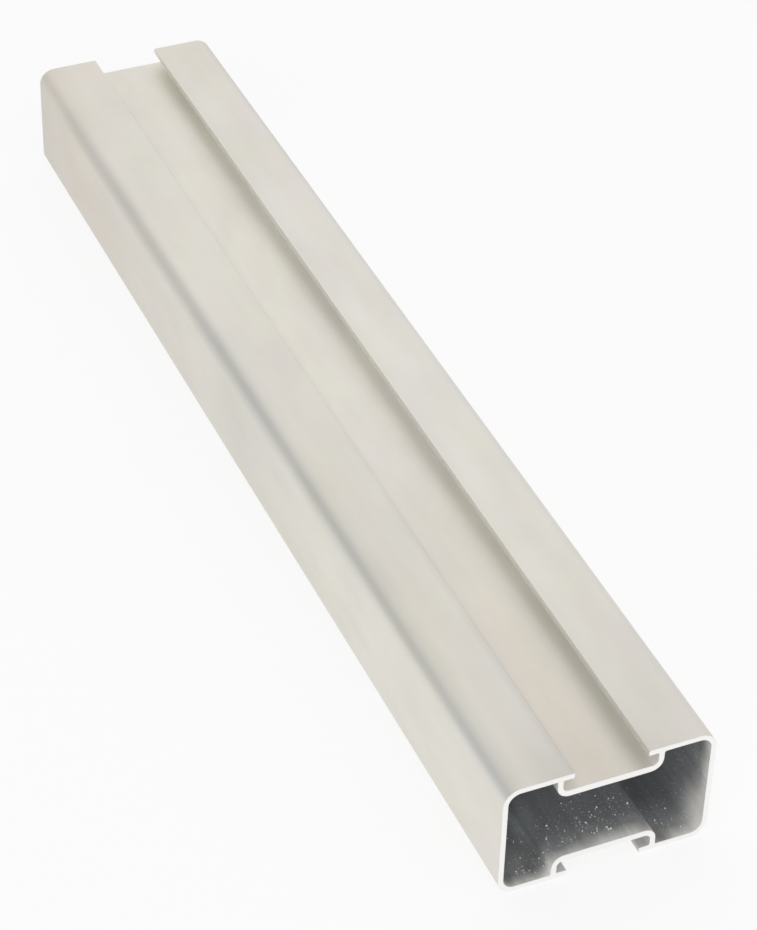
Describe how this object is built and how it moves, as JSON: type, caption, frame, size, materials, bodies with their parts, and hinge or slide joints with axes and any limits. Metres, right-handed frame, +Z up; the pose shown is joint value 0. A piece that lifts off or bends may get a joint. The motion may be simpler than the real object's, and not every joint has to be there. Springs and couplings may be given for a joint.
{
  "type": "aluminium extrusion profile",
  "caption": "Hollow rectangular aluminium extrusion with rounded long edges and a lipped slot along its top and its underside, sawn square to a short length.",
  "frame": {"origin": "middle of the underside, halfway along the length", "axes": "+X across the section's width, +Y along the length away from the end that the picture shows open, +Z up through the slots"},
  "size_m": [0.066, 0.4, 0.04],
  "materials": {
    "mill_aluminium": "satin mill finish with faint lengthwise die lines, sawn ends"
  },
  "bodies": {
    "root": {"extrusion": "mill_aluminium"}
  },
  "joints": []
}
